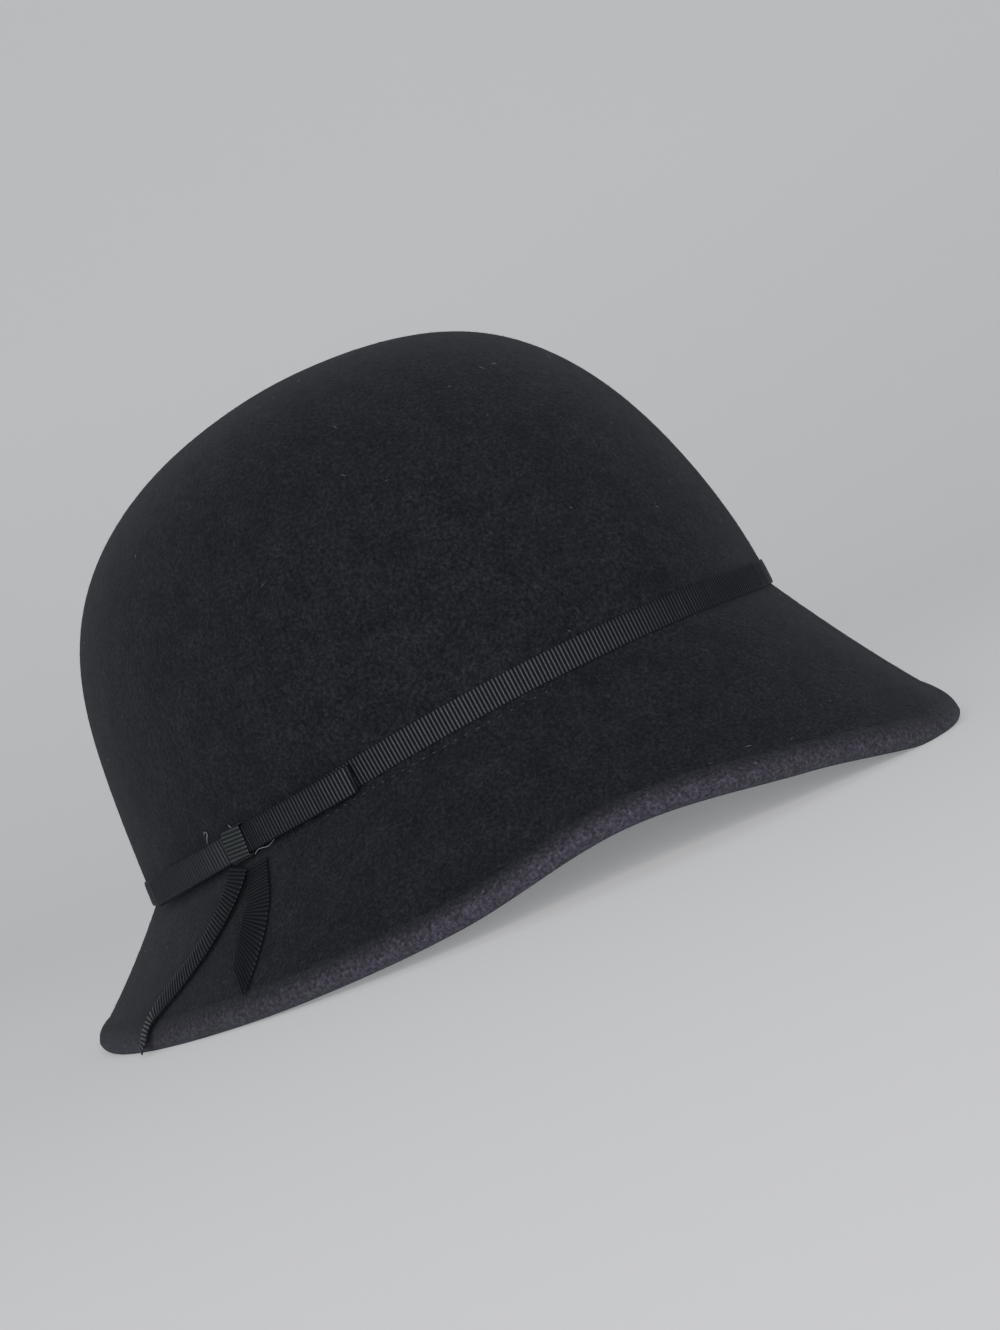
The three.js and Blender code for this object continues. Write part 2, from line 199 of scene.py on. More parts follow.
def brim_value(column, heading):
    """A column of the brim table at any headings, as a smooth curve through the rows."""
    values = np.array(BRIM_SECTIONS[column], dtype=float)
    last = len(values) - 1
    folded = np.abs((np.asarray(heading, dtype=float) + 180.0) % 360.0 - 180.0)
    start = np.minimum(np.floor(folded / BRIM_STEP).astype(int), last - 1)
    part = folded / BRIM_STEP - start

    def row(index):
        mirrored = np.where(index > last, 2 * last - index, np.abs(index))
        return values[mirrored]

    before, at, to, after = (row(start + offset) for offset in (-1, 0, 1, 2))
    slope_at = (to - before) / 2
    slope_to = (after - at) / 2
    square = part ** 2
    cube = part ** 3
    return ((2 * cube - 3 * square + 1) * at + (cube - 2 * square + part) * slope_at
            + (3 * square - 2 * cube) * to + (cube - square) * slope_to)


def foot_radius(heading):
    angle = np.radians(heading)
    return 1.0 / np.hypot(np.sin(angle) / FOOT_HALF_WIDTH, np.cos(angle) / FOOT_HALF_LENGTH)


def crown_radius(heading, climb):
    """The crown's radius at a climb of 0 at its foot to 1 at its top."""
    to_front = np.cos(np.radians(heading))
    rise = CROWN_RISE["mean"] + CROWN_RISE["front"] * to_front
    round_power = CROWN_ROUND["mean"] + CROWN_ROUND["front"] * to_front
    return foot_radius(heading) * (1.0 - climb ** rise) ** (1.0 / round_power)


DENT_TURN = math.acos((DENT_RADIUS + ROLL_RADIUS - ROLL_RISE) / (DENT_RADIUS + ROLL_RADIUS))
ROLL_START = (DENT_RADIUS + ROLL_RADIUS) * math.sin(DENT_TURN)


def turned_left(direction):
    return np.stack([-direction[..., 1], direction[..., 0]], axis=-1)


class Slope:
    """The brim in section, from its start to its end, and the roll that follows it."""

    def __init__(self, start, end):
        self.start = start
        self.end = end
        self.length = np.linalg.norm(end - start, axis=-1)
        self.direction = (end - start) / self.length[..., None]
        self.normal = turned_left(self.direction)
        end_direction = end - start + 4.0 * BRIM_SAG * self.normal
        self.end_direction = end_direction / np.linalg.norm(end_direction, axis=-1, keepdims=True)
        self.end_normal = turned_left(self.end_direction)
        self.roll_centre = (end + ROLL_START * self.end_direction
                            + (ROLL_RISE - ROLL_RADIUS) * self.end_normal)


def brim_slope(heading):
    heading = np.asarray(heading, dtype=float)
    start = np.stack([foot_radius(heading), brim_value("foot", heading)], axis=-1)
    end = np.stack([start[..., 0] + brim_value("reach", heading), brim_value("edge", heading)], axis=-1)
    lowest = Slope(start, end).roll_centre[..., 1] - ROLL_RADIUS
    end[..., 1] += np.maximum(-REST_FLAT - lowest, 0.0)
    return Slope(start, end)


def place(heading, radius, height):
    """A section point in space. The crown leans, more the higher it is."""
    lean = (np.maximum(height - LEAN_START, 0.0) / (CROWN_TOP - LEAN_START)) ** 2
    angle = np.radians(heading)
    return np.stack([
        lean * CROWN_LEAN["left"] - radius * np.sin(angle),
        lean * CROWN_LEAN["back"] - radius * np.cos(angle) + CENTRE_SHIFT,
        height + np.zeros_like(angle),
    ], axis=-1)


def front_edge():
    """How far the roll stands forward of the crown's middle."""
    return brim_slope(0.0).roll_centre[0] + ROLL_RADIUS


CENTRE_SHIFT = low_corner[1] + front_edge()


def crown_point(heading, height_over_foot, lift):
    foot = brim_value("foot", heading)
    climb = np.maximum(height_over_foot, 0.0) / (CROWN_TOP - foot)
    return place(heading, crown_radius(heading, climb) + lift, foot + height_over_foot)


def brim_point(heading, down, lift):
    slope = brim_slope(heading)
    down = np.asarray(down, dtype=float)
    part = np.minimum(down / slope.length, 1.0)
    sag = 4.0 * BRIM_SAG * part * (1.0 - part)
    point = slope.start + slope.direction * down[..., None] + slope.normal * (lift - sag)[..., None]
    return place(heading, point[..., 0], point[..., 1])


def bow_point(along, height_over_foot, lift):
    return crown_point(KNOT_HEADING - np.degrees(along / BOW_RADIUS), height_over_foot, lift)


# ---------------------------------------------------------------- meshes

def new_object(name, vertices, faces, material):
    """A smooth-shaded mesh object from points in millimetres."""
    mesh = bpy.data.meshes.new(name)
    mesh.from_pydata((np.asarray(vertices) * MM).tolist(), [], faces)
    mesh.polygons.foreach_set("use_smooth", [True] * len(mesh.polygons))
    mesh.materials.append(material)
    mesh.update()
    piece = bpy.data.objects.new(name, mesh)
    bpy.context.collection.objects.link(piece)
    return piece


def grid_faces(row_count, column_count, close_rows, close_columns):
    """Quads of a grid of points, which may close on itself either way."""
    rows = np.arange(row_count if close_rows else row_count - 1)
    columns = np.arange(column_count if close_columns else column_count - 1)
    row, column = (grid.ravel() for grid in np.meshgrid(rows, columns, indexing="ij"))
    next_row = (row + 1) % row_count
    next_column = (column + 1) % column_count
    return np.stack([
        row * column_count + column,
        next_row * column_count + column,
        next_row * column_count + next_column,
        row * column_count + next_column,
    ], axis=-1)


def smooth_path(rows):
    """Points along a centripetal Catmull-Rom curve through the rows, CURVE_STEPS to each span."""
    points = np.array(rows, dtype=float)
    points = np.concatenate([[2 * points[0] - points[1]], points, [2 * points[-1] - points[-2]]])
    part = np.linspace(0.0, 1.0, CURVE_STEPS, endpoint=False)[:, None]
    spans = []
    for before, start, end, after in zip(points, points[1:], points[2:], points[3:]):
        gap_before, gap, gap_after = (
            math.sqrt(np.linalg.norm(b - a)) for a, b in ((before, start), (start, end), (end, after)))
        slope_start = gap * ((start - before) / gap_before - (end - before) / (gap_before + gap)
                             + (end - start) / gap)
        slope_end = gap * ((end - start) / gap - (after - start) / (gap + gap_after)
                           + (after - end) / gap_after)
        spans.append((2 * part ** 3 - 3 * part ** 2 + 1) * start
                     + (part ** 3 - 2 * part ** 2 + part) * slope_start
                     + (3 * part ** 2 - 2 * part ** 3) * end
                     + (part ** 3 - part ** 2) * slope_end)
    return np.concatenate(spans + [points[-2:-1]])


def unit(vectors):
    return vectors / np.linalg.norm(vectors, axis=-1, keepdims=True)


def resample(columns, middles, spacing, is_ring):
    """Carries the columns to stations that are evenly spaced along the middle line."""
    if is_ring:
        columns = np.concatenate([columns, columns[:1]])
        middles = np.concatenate([middles, middles[:1]])
    lengths = np.concatenate([[0.0], np.cumsum(np.linalg.norm(np.diff(middles, axis=0), axis=1))])
    count = max(int(round(lengths[-1] / spacing)), 2)
    if is_ring:
        stations = np.linspace(0.0, lengths[-1], count, endpoint=False)
    else:
        stations = np.linspace(0.0, lengths[-1], count + 1)
    carried = np.stack([np.interp(stations, lengths, column) for column in columns.T], axis=-1)
    return carried, stations, lengths[-1]


def ribbon(name, middles, across, material, is_ring=False, slant=0.0, seed=0, width=RIBBON_WIDTH):
    """A grosgrain ribbon along a row of middles and across vectors, with ribs and picot edges."""
    rng = np.random.default_rng(seed)
    carried, stations, length = resample(
        np.concatenate([middles, across], axis=1), middles, RIB_PITCH / RIB_STATIONS, is_ring)
    centre = carried[:, :3]
    across = carried[:, 3:]
    if is_ring:
        direction = unit(np.roll(centre, -1, axis=0) - np.roll(centre, 1, axis=0))
        rib_count = round(length / RIB_PITCH)
    else:
        direction = unit(np.gradient(centre, axis=0))
        rib_count = length / RIB_PITCH
    across = unit(across - direction * np.sum(across * direction, axis=1, keepdims=True))
    face = np.cross(direction, across)

    phase = stations / length * rib_count
    rib = 0.5 - 0.5 * np.cos(2.0 * math.pi * phase)
    rib_size = 1.0 + rng.normal(0.0, RIB_VARIATION, int(rib_count) + 2)[np.floor(phase).astype(int)]
    height = RIB_HEIGHT * rib_size * rib ** 0.7
    half_width = width / 2 - PICOT_DEPTH + PICOT_DEPTH * rib
    shift = slant * np.maximum(stations / length - SLANT_START, 0.0) / (1.0 - SLANT_START)

    spread = np.sin(np.linspace(-0.5 * math.pi, 0.5 * math.pi, RIBBON_COLUMNS))
    edge_drop = 1.0 - np.abs(spread) ** 8
    core = RIBBON_THICKNESS / 2 - RIB_HEIGHT
    loops = []
    for side in (1, -1):
        order = spread if side == 1 else spread[::-1]
        for position, drop in zip(order, edge_drop):
            off = side * (core * (0.45 + 0.55 * drop) + height * (0.35 + 0.65 * drop))
            loops.append(centre + across * (position * half_width)[:, None] + face * off[:, None]
                         + direction * (position * shift)[:, None])
    points = np.stack(loops, axis=1)
    station_count, around = points.shape[:2]
    faces = grid_faces(station_count, around, is_ring, True).tolist()
    if not is_ring:
        faces.append(list(range(around)))
        faces.append(list(range((station_count - 1) * around, station_count * around))[::-1])
    piece = new_object(name, points.reshape(-1, 3), faces, material)
    add_ribbon_uv(piece, stations, spread, around, width)
    add_attribute(piece, "rib", np.repeat(rib, around))
    return piece


def add_attribute(piece, name, values):
    """A number for each vertex that the piece's material reads."""
    layer = piece.data.attributes.new(name, "FLOAT", "POINT")
    layer.data.foreach_set("value", np.asarray(values, dtype=float))


def add_ribbon_uv(piece, stations, spread, around, width):
    """UVs in millimetres: along the ribbon, and across it."""
    mesh = piece.data
    across = np.concatenate([spread, spread[::-1]]) * width / 2
    vertex = np.empty(len(mesh.loops), dtype=int)
    mesh.loops.foreach_get("vertex_index", vertex)
    layer = mesh.uv_layers.new(name="ribbon")
    uv = np.stack([stations[vertex // around], across[vertex % around]], axis=-1)
    layer.data.foreach_set("uv", uv.ravel())


# ---------------------------------------------------------------- materials

def node_material(name):
    material = bpy.data.materials.new(name)
    material.use_nodes = True
    nodes = material.node_tree.nodes
    return material, nodes, material.node_tree.links, nodes["Principled BSDF"]


def noise(nodes, links, coordinates, scale, detail, roughness=0.6, stretch=None):
    texture = nodes.new("ShaderNodeTexNoise")
    texture.inputs["Scale"].default_value = scale
    texture.inputs["Detail"].default_value = detail
    texture.inputs["Roughness"].default_value = roughness
    if stretch:
        mapping = nodes.new("ShaderNodeMapping")
        mapping.inputs["Scale"].default_value = stretch
        links.new(coordinates, mapping.inputs["Vector"])
        coordinates = mapping.outputs["Vector"]
    links.new(coordinates, texture.inputs["Vector"])
    return texture


def ramp(nodes, links, source, stops):
    """Colours by position, from a list of (position, linear colour)."""
    node = nodes.new("ShaderNodeValToRGB")
    elements = node.color_ramp.elements
    while len(elements) < len(stops):
        elements.new(0.5)
    for element, (position, colour) in zip(elements, stops):
        element.position = position
        element.color = (*colour, 1.0)
    links.new(source, node.inputs["Fac"])
    return node


def mix_colour(nodes, links, factor, first, second, blend="MIX"):
    node = nodes.new("ShaderNodeMix")
    node.data_type = "RGBA"
    node.blend_type = blend
    for socket, source in (("Factor", factor), ("A", first), ("B", second)):
        target = next(item for item in node.inputs if item.name == socket and item.enabled)
        if isinstance(source, bpy.types.NodeSocket):
            links.new(source, target)
        else:
            target.default_value = source
    return next(item for item in node.outputs if item.enabled)


def bump(nodes, links, height, distance, strength, normal=None):
    node = nodes.new("ShaderNodeBump")
    node.inputs["Distance"].default_value = distance
    node.inputs["Strength"].default_value = strength
    links.new(height, node.inputs["Height"])
    if normal:
        links.new(normal, node.inputs["Normal"])
    return node.outputs["Normal"]


def felt_material():
    """Matt charcoal-navy wool felt: mottled dye, matted short fibres, and painted light that makes the roll
    paler, as if lit from below.
    """
    material, nodes, links, shader = node_material("wool_felt")
    where = nodes.new("ShaderNodeTexCoord").outputs["Object"]
    mottle = noise(nodes, links, where, scale=120, detail=8, roughness=0.78)
    grain = noise(nodes, links, where, scale=1100, detail=3, roughness=0.75)
    flecks = noise(nodes, links, where, scale=2600, detail=2, roughness=0.5)
    dye = ramp(nodes, links, mottle.outputs["Fac"], [
        (0.30, (0.0046, 0.0052, 0.0062)),
        (0.70, (0.0094, 0.0100, 0.0122)),
    ])
    fibres = ramp(nodes, links, grain.outputs["Fac"], [
        (0.32, (0.48, 0.48, 0.50)),
        (0.50, (0.95, 0.95, 0.95)),
        (0.72, (2.0, 2.0, 2.05)),
    ])
    specks = ramp(nodes, links, flecks.outputs["Fac"], [
        (0.72, (1.0, 1.0, 1.0)),
        (0.80, (3.0, 3.1, 3.2)),
    ])
    # Painted light: the roll's colour is mixed toward a paler lavender, as if lit from below and in front.
    roll_painted_light = nodes.new("ShaderNodeAttribute")
    roll_painted_light.attribute_name = "roll_painted_light"
    colour = mix_colour(nodes, links, roll_painted_light.outputs["Fac"], dye.outputs["Color"], ROLL_PAINTED_LIGHT_COLOUR)
    colour = mix_colour(nodes, links, 1.0, colour, fibres.outputs["Color"], "MULTIPLY")
    colour = mix_colour(nodes, links, 1.0, colour, specks.outputs["Color"], "MULTIPLY")
    links.new(colour, shader.inputs["Base Color"])
    shader.inputs["Roughness"].default_value = 0.95
    shader.inputs["Specular IOR Level"].default_value = 0.05
    shader.inputs["Sheen Weight"].default_value = 0.05
    shader.inputs["Sheen Roughness"].default_value = 0.5
    shader.inputs["Sheen Tint"].default_value = (0.66, 0.70, 0.76, 1.0)
    pile = noise(nodes, links, where, scale=1300, detail=4, roughness=0.75)
    dents = noise(nodes, links, where, scale=260, detail=3, roughness=0.5)
    normal = bump(nodes, links, dents.outputs["Fac"], 0.0006, 0.30)
    normal = bump(nodes, links, pile.outputs["Fac"], 0.0004, 0.9, normal)
    links.new(normal, shader.inputs["Normal"])
    return material


def grosgrain_material(name, dark, pale, groove_shade):
    """Near-black ribbon with fine warp threads, glossier on the ribs. Its colour carries painted shade in
    the grooves between the ribs and a painted highlight on the rib tops.
    """
    material, nodes, links, shader = node_material(name)
    where = nodes.new("ShaderNodeUVMap")
    where.uv_map = "ribbon"
    threads = noise(nodes, links, where.outputs["UV"], 1.0, 2, 0.5, (1.2, 9.0, 1.0))
    dye = ramp(nodes, links, threads.outputs["Fac"], [
        (0.30, dark),
        (0.70, pale),
    ])
    ribs = nodes.new("ShaderNodeAttribute")
    ribs.attribute_name = "rib"
    # Painted shade and highlight: the colour is darkened in the grooves and brightened on the rib tops.
    rib_shade_and_highlight = ramp(nodes, links, ribs.outputs["Fac"], [
        (0.15, (groove_shade, groove_shade, groove_shade)),
        (0.85, (1.3, 1.3, 1.3)),
    ])
    colour = mix_colour(nodes, links, 1.0, dye.outputs["Color"], rib_shade_and_highlight.outputs["Color"], "MULTIPLY")
    links.new(colour, shader.inputs["Base Color"])
    gloss = ramp(nodes, links, ribs.outputs["Fac"], [
        (0.3, (0.9, 0.9, 0.9)),
        (0.8, (0.40, 0.40, 0.40)),
    ])
    links.new(gloss.outputs["Color"], shader.inputs["Roughness"])
    shader.inputs["Specular IOR Level"].default_value = 0.20
    shader.inputs["Specular Tint"].default_value = (0.87, 0.91, 1.0, 1.0)
    shader.inputs["Sheen Weight"].default_value = 0.01
    shader.inputs["Sheen Roughness"].default_value = 0.35
    shader.inputs["Sheen Tint"].default_value = (0.75, 0.75, 0.85, 1.0)
    links.new(bump(nodes, links, threads.outputs["Fac"], 0.0001, 0.4), shader.inputs["Normal"])
    return material


def plain_material(name, colour, roughness):
    material, _, _, shader = node_material(name)
    shader.inputs["Base Color"].default_value = (*colour, 1.0)
    shader.inputs["Roughness"].default_value = roughness
    return material


# ---------------------------------------------------------------- the felt

def top_rows(heading):
    """The felt's top side in section, from the crown's top to the end of the hem."""
    slope = brim_slope(heading)
    rows = []
    for climb in np.cos(np.radians(np.linspace(0.0, 90.0, CROWN_ROWS + 1))):
        height = lerp(slope.start[..., 1], CROWN_TOP, climb)
        rows.append(np.stack([crown_radius(heading, climb), height], axis=-1))
    for part in np.linspace(0.0, 1.0, BRIM_ROWS + 1)[1:]:
        sag = 4.0 * BRIM_SAG * part * (1.0 - part)
        rows.append(lerp(slope.start, slope.end, part) - sag * slope.normal)
    for turn in np.linspace(0.0, DENT_TURN, DENT_ROWS + 1)[1:]:
        rows.append(slope.end + DENT_RADIUS * math.sin(turn) * slope.end_direction
                    + DENT_RADIUS * (1.0 - math.cos(turn)) * slope.end_normal)
    roll_end = math.radians(ROLL_TURN)
    for turn in np.linspace(-DENT_TURN, roll_end, ROLL_ROWS + 1)[1:]:
        rows.append(slope.roll_centre + ROLL_RADIUS * math.sin(turn) * slope.end_direction
                    + ROLL_RADIUS * math.cos(turn) * slope.end_normal)
    tuck = math.cos(roll_end) * slope.end_direction - math.sin(roll_end) * slope.end_normal
    for part in np.linspace(0.0, 1.0, HEM_ROWS + 1)[1:]:
        rows.append(rows[CROWN_ROWS + BRIM_ROWS + DENT_ROWS + ROLL_ROWS] + part * HEM_LENGTH * tuck)
    return np.stack(rows)


def softened_dent(rows):
    """The section with its dent eased, as felt turns, between the brim and the roll's outer side."""
    first = CROWN_ROWS + BRIM_ROWS - 6
    last = CROWN_ROWS + BRIM_ROWS + DENT_ROWS + 9
    rows = rows.copy()
    for _ in range(DENT_SOFTENING):
        before, here, after = rows[first - 1:last - 1], rows[first:last], rows[first + 1:last + 1]
        gap_before = np.linalg.norm(here - before, axis=-1, keepdims=True)
        gap_after = np.linalg.norm(after - here, axis=-1, keepdims=True)
        straight = (before * gap_after + after * gap_before) / (gap_before + gap_after)
        rows[first:last] = lerp(here, straight, 0.5)
    return rows


def section_normals(rows):
    """Normals of the top side in section, level across the top and shared at the foot's crease."""
    normals = turned_left(unit(np.gradient(rows, axis=0)))
    normals[0] = (0.0, 1.0)
    return normals


def make_felt(material):
    """The whole felt body. Gives back the points of its outer side, for the fibres."""
    heading = np.arange(HEADING_COUNT) * 360.0 / HEADING_COUNT
    flat_top = softened_dent(top_rows(heading))
    normals = section_normals(flat_top)
    top = flat_top + wall_wave(flat_top, heading)[..., None] * normals
    half = FELT_THICKNESS / 2
    last_normal = normals[-1]
    onward = np.stack([last_normal[..., 1], -last_normal[..., 0]], axis=-1)
    edge = []
    for turn in np.linspace(0.0, math.pi, EDGE_ROWS + 2)[1:-1]:
        edge.append(top[-1] - half * last_normal
                    + half * (math.cos(turn) * last_normal + math.sin(turn) * onward))
    under = (top - FELT_THICKNESS * normals)[::-1]
    rows = np.concatenate([top[1:], np.stack(edge), under[:-1]])
    rows[..., 1] = np.maximum(rows[..., 1], 0.0)
    grid = place(heading[None, :], rows[..., 0], rows[..., 1])
    vertices = grid.reshape(-1, 3)
    apexes = [place(0.0, 0.0, CROWN_TOP), place(0.0, 0.0, CROWN_TOP - FELT_THICKNESS)]
    vertices = np.concatenate([vertices, apexes])
    faces = grid_faces(len(rows), HEADING_COUNT, False, True)[:, ::-1].tolist()
    outer_apex = len(vertices) - 2
    inner_apex = len(vertices) - 1
    last_row = (len(rows) - 1) * HEADING_COUNT
    for column in range(HEADING_COUNT):
        following = (column + 1) % HEADING_COUNT
        faces.append([outer_apex, following, column])
        faces.append([inner_apex, last_row + column, last_row + following])
    felt = new_object("felt_hat", vertices, faces, material)
    add_attribute(felt, "roll_painted_light", roll_painted_light_rows(len(rows), len(top) - 1))
    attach(felt, "root")
    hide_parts("felt_body")
    return grid[:len(top) - 1 - HEM_ROWS]


def roll_painted_light_rows(row_count, top_count):
    """How much painted light the felt takes at each vertex: none above the dent, and most on the front
    roll.
    """
    rows = np.arange(row_count)
    dent = CROWN_ROWS + BRIM_ROWS + DENT_ROWS
    roll_lit = np.clip((rows - dent + 5) / 16.0, 0.0, 1.0)
    roll_lit = roll_lit * roll_lit * (3.0 - 2.0 * roll_lit)
    roll_lit[rows >= top_count] = 0.0
    heading = np.arange(HEADING_COUNT) * 360.0 / HEADING_COUNT
    share = 0.62 + 0.38 * np.cos(np.radians(np.abs((heading + 180.0) % 360.0 - 180.0) - 48.0))
    return np.concatenate([np.outer(roll_lit, share).ravel(), [0.0, 0.0]])


def wall_wave(rows, heading):
    """Slow unevenness of hand-blocked felt, none where the band lies or the roll rests."""
    angle = np.radians(heading)
    height = rows[..., 1]
    wave = (np.sin(3 * angle + height / 21.0) * np.sin(height / 13.0 + 1.0)
            + 0.7 * np.sin(7 * angle - height / 17.0 + 0.6)
            + 0.5 * np.cos(5 * angle + height / 9.0 + 2.1))
    foot = brim_value("foot", heading)
    clear_of_band = np.clip(np.abs(height - foot - RIBBON_WIDTH / 2) / 12.0 - 0.4, 0.0, 1.0)
    clear_of_floor = np.clip((height - 6.0) / 12.0, 0.0, 1.0)
    below_top = np.clip((CROWN_TOP - height) / 12.0, 0.0, 1.0)
    return WALL_WAVE * wave * clear_of_band * clear_of_floor * below_top / 2.2


# ---------------------------------------------------------------- fibres, stitches and thread ends

def slivers(starts, normals, along, lengths, rises, radius):
    """Closed slivers: each leaves the felt at its start, bends at its middle and ends in a point."""
    side = np.cross(normals, along)
    ends = starts + along * lengths[:, None] + normals * rises[:, None]
    middles = starts + along * (0.55 * lengths)[:, None] + normals * (0.8 * rises)[:, None]
    corners = [middles + radius * (math.cos(turn) * normals + math.sin(turn) * side)
               for turn in np.radians((0.0, 120.0, 240.0))]
    points = np.stack([starts - FIBRE_ROOT * normals, *corners, ends], axis=1)
    first = 5 * np.arange(len(starts))[:, None]
    pattern = [(0, 1, 2), (0, 2, 3), (0, 3, 1), (4, 2, 1), (4, 3, 2), (4, 1, 3)]
    faces = np.concatenate([first + np.array(corner) for corner in pattern])
    return points.reshape(-1, 3), faces.tolist()


def make_fibres(name, grid, sizes, material, seed):
    """Short fibres scattered evenly over the felt's outer side, none near the floor."""
    rng = np.random.default_rng(seed)
    corner = grid[:-1]
    down = grid[1:] - corner
    across = np.roll(grid, -1, axis=1)[:-1] - corner
    normals = np.cross(across, down)
    areas = np.linalg.norm(normals, axis=-1)
    areas[corner[..., 2] < FIBRE_FLOOR] = 0.0
    chosen = rng.choice(areas.size, size=sizes["count"], p=areas.ravel() / areas.sum())
    row, column = np.unravel_index(chosen, areas.shape)
    part = rng.random((2, sizes["count"], 1))
    starts = corner[row, column] + part[0] * down[row, column] + part[1] * across[row, column]
    outward = unit(normals[row, column])
    outward *= np.sign(np.sum(outward * (starts - (0.0, 0.0, 20.0)), axis=1, keepdims=True))
    turn = rng.uniform(0.0, 2.0 * math.pi, (sizes["count"], 1))
    level = unit(across[row, column])
    along = level * np.cos(turn) + np.cross(outward, level) * np.sin(turn)
    lengths = rng.uniform(*sizes["length"], sizes["count"])
    rises = rng.uniform(*sizes["rise"], sizes["count"])
    points, faces = slivers(starts, outward, along, lengths, rises, sizes["radius"])
    finish_trim(new_object(name, points, faces, material))


def make_stitches(material):
    """A few small hand stitches that hold the band, just under it on the wearer's right."""
    heading = np.linspace(STITCHES["first"], STITCHES["last"], STITCHES["count"])
    down = np.full_like(heading, STITCHES["down"])
    flat = np.zeros_like(heading)
    starts = brim_point(heading, down, flat)
    normals = unit(brim_point(heading, down, flat + 1.0) - starts)
    along = unit(brim_point(heading + 0.5, down, flat) - starts)
    lengths = np.full_like(heading, STITCHES["length"])
    points, faces = slivers(starts, normals, along, lengths, flat + 0.08, STITCHES["radius"])
    finish_trim(new_object("band_stitches", points, faces, material))


def thread(points):
    """A thin closed tube through the points."""
    middles = smooth_path(points)[::4]
    direction = unit(np.gradient(middles, axis=0))
    side = unit(np.cross(direction, (0.3, 0.5, 0.8)))
    upward = np.cross(direction, side)
    turns = np.arange(THREAD_SIDES) * 2.0 * math.pi / THREAD_SIDES
    rings = np.stack([middles + THREAD_RADIUS * (math.cos(turn) * side + math.sin(turn) * upward)
                      for turn in turns], axis=1)
    faces = grid_faces(len(middles), THREAD_SIDES, False, True)[:, ::-1].tolist()
    last = (len(middles) - 1) * THREAD_SIDES
    faces.append(list(range(THREAD_SIDES - 1, -1, -1)))
    faces.append([last + index for index in range(THREAD_SIDES)])
    return rings.reshape(-1, 3), faces


def make_threads(material):
    """Thread ends left at the bow: over the knot, in front of it, and curled over the back loop."""
    for number, rows in enumerate(THREAD_PATHS, 1):
        points, faces = thread(bow_point(*np.array(rows).T))
        finish_trim(new_object(f"thread_end_{number}", points, faces, material))


def finish_trim(piece):
    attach(piece, "root")


# ---------------------------------------------------------------- ribbon pieces

def make_band(material):
    heading = np.linspace(0.0, 360.0, 1440, endpoint=False)
    lift = BAND_LIFT + RIBBON_THICKNESS / 2
    low = crown_point(heading, BAND_HEIGHT, lift)
    high = crown_point(heading, BAND_HEIGHT + RIBBON_WIDTH, lift)
    band = ribbon("ribbon_band", (low + high) / 2, high - low, material, is_ring=True, seed=1)
    finish_ribbon(band, "hat_band")


def make_loop(name, node, rows, material, seed):
    path = smooth_path(rows)
    along, lift, middle = path.T
    middles = bow_point(along, middle, lift)
    across = bow_point(along, middle + 1.0, lift) - middles
    finish_ribbon(ribbon(name, middles, across, material, seed=seed), node)


def make_knot(material):
    corners = [
        (KNOT_HEIGHT["high"], KNOT_LIFT["front"], 1, 1, 0),
        (KNOT_HEIGHT["high"], KNOT_LIFT["back"], 1, -1, 90),
        (KNOT_HEIGHT["low"], KNOT_LIFT["back"], -1, -1, 180),
        (KNOT_HEIGHT["low"], KNOT_LIFT["front"], -1, 1, 270),
    ]
    outline = []
    for height, lift, up_side, out_side, turn in corners:
        centre_height = height - KNOT_CORNER * up_side
        centre_lift = lift - KNOT_CORNER * out_side
        for angle in np.radians(turn + np.linspace(0.0, 90.0, 9)):
            outline.append((centre_height + KNOT_CORNER * math.sin(angle),
                            centre_lift + KNOT_CORNER * math.cos(angle)))
    height, lift = np.array(outline).T
    still = np.zeros_like(height)
    middles = bow_point(still, height, lift)
    across = bow_point(still + 1.0, height, lift) - middles
    knot = ribbon("ribbon_knot", middles, across, material, is_ring=True, seed=4, width=2 * KNOT_HALF_WIDTH)
    finish_ribbon(knot, "bow_knot")


def make_tail(name, node, rows, slant, material, seed):
    path = smooth_path(np.array(rows)[:, :3])
    twist_at = np.linspace(0.0, len(rows) - 1, len(path))
    twist = np.interp(twist_at, np.arange(len(rows)), np.array(rows)[:, 3])
    heading, down, lift = path.T
    middles = brim_point(heading, down, lift)
    normals = unit(brim_point(heading, down, lift + 1.0) - middles)
    direction = unit(np.gradient(middles, axis=0))
    across = unit(np.cross(normals, direction))
    out = np.cross(direction, across)
    turn = np.radians(twist)[:, None]
    across = across * np.cos(turn) + out * np.sin(turn)
    finish_ribbon(ribbon(name, middles, across, material, slant=slant, seed=seed), node)


def finish_ribbon(piece, node):
    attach(piece, "root")
    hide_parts(node)


# ---------------------------------------------------------------- stage, lights and camera

def make_stage():
    """A pale floor that sweeps up into a wall behind the hat, as seen by the camera."""
    material = plain_material("backdrop", (0.80, 0.81, 0.83), 0.9)
    glow = material.node_tree.nodes["Principled BSDF"]
    glow.inputs["Emission Color"].default_value = (0.95, 0.97, 1.0, 1.0)
    glow.inputs["Emission Strength"].default_value = 0.20
    toward_wall = math.radians(62.0)
    ahead = np.array([math.sin(toward_wall), math.cos(toward_wall)])
    aside = np.array([ahead[1], -ahead[0]])
    floor_front, floor_back, sweep, wall_height, half_width = -9000.0, 1500.0, 700.0, 2200.0, 9000.0
    profile = [(floor_front, 0.0), (floor_back, 0.0)]
    for turn in np.radians(np.linspace(0.0, 90.0, 17))[1:]:
        profile.append((floor_back + sweep * math.sin(turn), sweep * (1.0 - math.cos(turn))))
    profile.append((floor_back + sweep, sweep + wall_height))
    vertices = []
    for distance, height in profile:
        for side in (-half_width, half_width):
            x, y = ahead * distance + aside * side
            vertices.append((x, y, height))
    faces = grid_faces(len(profile), 2, False, False).tolist()
    stage = new_object("backdrop", vertices, faces, material)


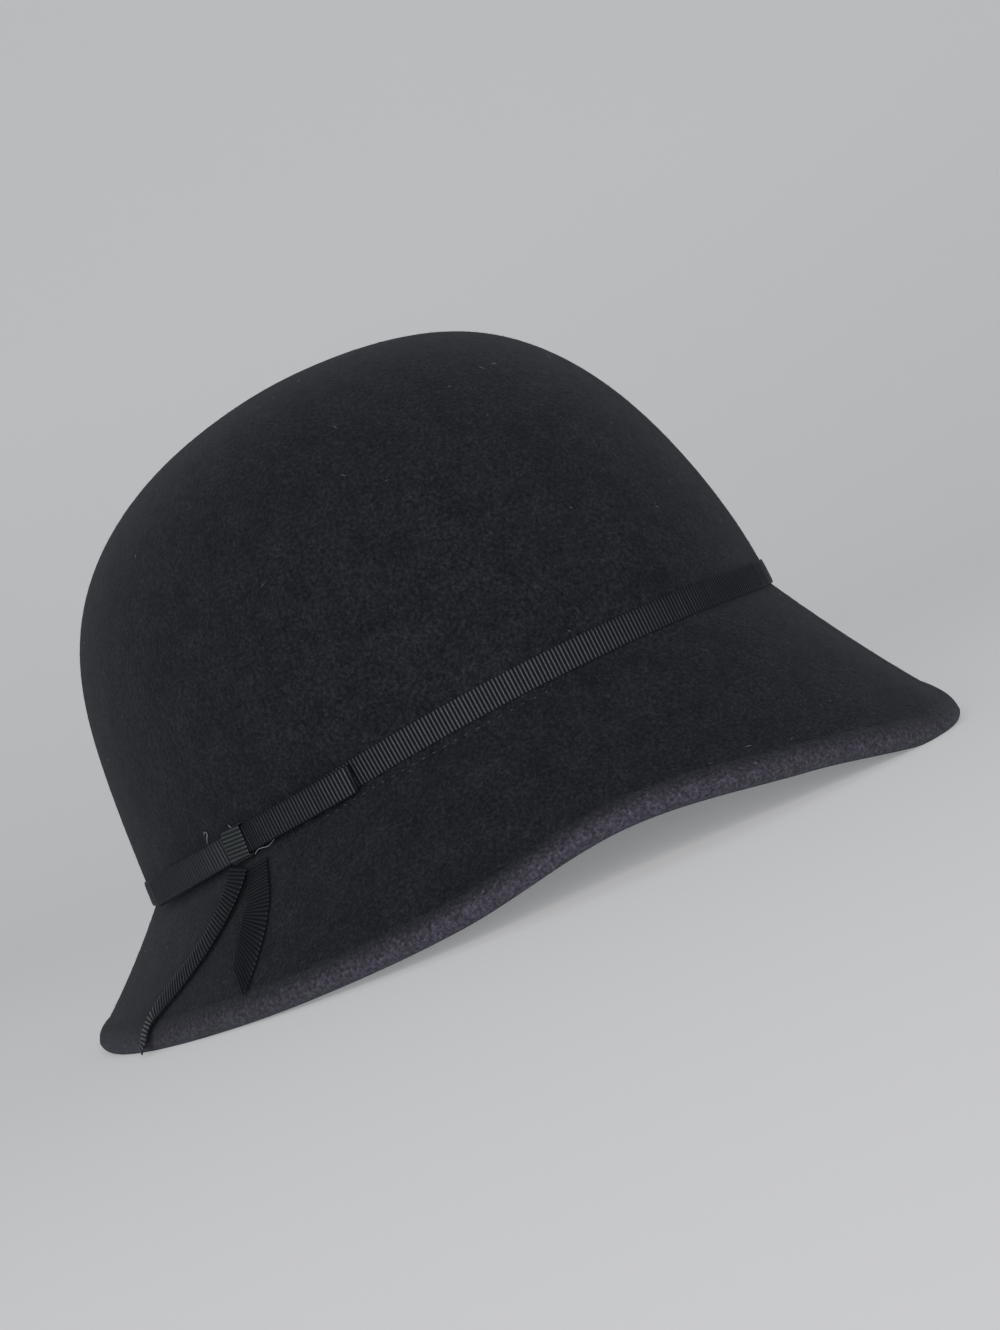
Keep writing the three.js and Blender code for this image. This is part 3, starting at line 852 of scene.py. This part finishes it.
def area_light(name, position, size, power, colour):
    light = bpy.data.lights.new(name, "AREA")
    light.shape = "RECTANGLE"
    light.size, light.size_y = size
    light.energy = power
    light.color = colour
    lamp = bpy.data.objects.new(name, light)
    bpy.context.collection.objects.link(lamp)
    lamp.location = Vector(position) * MM
    aim = Vector((0.0, 0.0, 70.0)) * MM
    lamp.rotation_euler = (aim - lamp.location).to_track_quat("-Z", "Y").to_euler()


def make_lights():
    world = bpy.data.worlds.new("studio")
    bpy.context.scene.world = world
    world.use_nodes = True
    background = world.node_tree.nodes["Background"]
    background.inputs["Color"].default_value = (0.86, 0.90, 0.95, 1.0)
    background.inputs["Strength"].default_value = 0.38
    area_light("window", (-1300, -650, 260), (1.3, 0.9), 38.0, (1.0, 0.98, 0.96))
    area_light("low_bounce", (-620, -330, 20), (0.9, 0.12), 5.0, (0.93, 0.92, 1.0))


def make_camera():
    """The camera looks at the hat's front right from just over the floor, tilted to one side."""
    camera = bpy.data.cameras.new("camera")
    camera.lens = 51.25
    camera.sensor_width = 36.0
    holder = bpy.data.objects.new("camera", camera)
    bpy.context.collection.objects.link(holder)
    position = Vector((-472.7, -270.2, 51.4)) * MM
    target = Vector((10.5, -13.5, 59.0)) * MM
    level = (target - position).to_track_quat("-Z", "Y")
    tilt = Quaternion((0.0, 0.0, 1.0), math.radians(-22.2))
    holder.location = position
    holder.rotation_mode = "QUATERNION"
    holder.rotation_quaternion = level @ tilt
    bpy.context.scene.camera = holder


make_camera()
make_lights()
make_stage()

felt_look = felt_material()
ribbon_look = grosgrain_material("grosgrain", (0.0022, 0.0023, 0.0031), (0.0074, 0.0077, 0.0106), 0.05)
# Painted light: paler copies of the same ribbon, a lit greenish grey for the knot and a flatter lighter
# grey for the back loop.
knot_painted_light_look = grosgrain_material("grosgrain_knot_painted_light", (0.0075, 0.0088, 0.0088), (0.0210, 0.0240, 0.0245), 0.25)
back_loop_painted_light_look = grosgrain_material("grosgrain_back_painted_light", (0.0045, 0.0047, 0.0060), (0.0100, 0.0104, 0.0130), 0.60)
nap_look = plain_material("wool_nap", (0.016, 0.0165, 0.020), 0.9)
lint_look = plain_material("lint", (0.14, 0.14, 0.155), 0.9)
thread_look = plain_material("thread", (0.045, 0.047, 0.052), 0.7)

felt_grid = make_felt(felt_look)
make_fibres("wool_nap", felt_grid, NAP, nap_look, 11)
make_fibres("lint", felt_grid, LINT, lint_look, 12)
make_stitches(thread_look)
make_threads(lint_look)
make_band(ribbon_look)
make_loop("ribbon_loop_front", "bow_loop_front", FRONT_LOOP, ribbon_look, 2)
make_loop("ribbon_loop_back", "bow_loop_back", BACK_LOOP, back_loop_painted_light_look, 3)
make_knot(knot_painted_light_look)
make_tail("ribbon_tail_long", "bow_tail_long", LONG_TAIL, 0.0, ribbon_look, 5)
make_tail("ribbon_tail_short", "bow_tail_short", SHORT_TAIL, SHORT_TAIL_SLANT, ribbon_look, 6)
